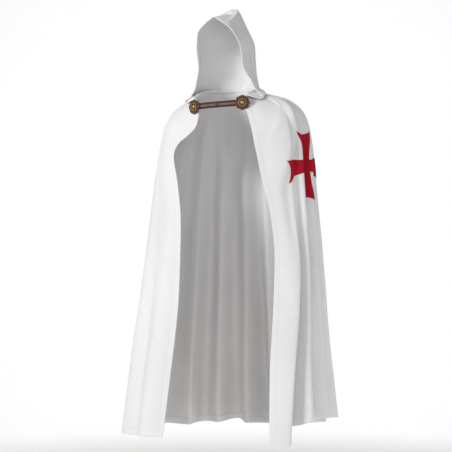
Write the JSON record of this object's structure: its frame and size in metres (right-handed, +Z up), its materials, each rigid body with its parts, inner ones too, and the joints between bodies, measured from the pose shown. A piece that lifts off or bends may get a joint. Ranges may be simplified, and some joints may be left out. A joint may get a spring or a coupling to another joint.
{
  "type": "hooded cape",
  "caption": "Long hooded cloth cape, open down the front, with a cross on the upper arm and a leather strap clasp with brass bosses at the neck.",
  "frame": {"origin": "middle of the neckline, where the garment hangs from the neck and shoulders", "axes": "+Z up, -Y the way the wearer faces, +X to the wearer's left"},
  "size_m": [0.7862, 0.567, 1.5014],
  "materials": {
    "cloth": "matt twill weave",
    "cross_cloth": "matt plain weave",
    "leather": "tooled, waxed",
    "brass": "aged, satin"
  },
  "bodies": {
    "root": {"back": "cloth", "front_right": "cloth", "front_left": "cloth", "hood_right": "cloth", "hood_left": "cloth", "cross": "cross_cloth", "strap_left": "leather", "strap_right": "leather", "rosette_left": "leather", "rosette_right": "leather", "boss_left": "brass", "boss_right": "brass"}
  },
  "joints": []
}
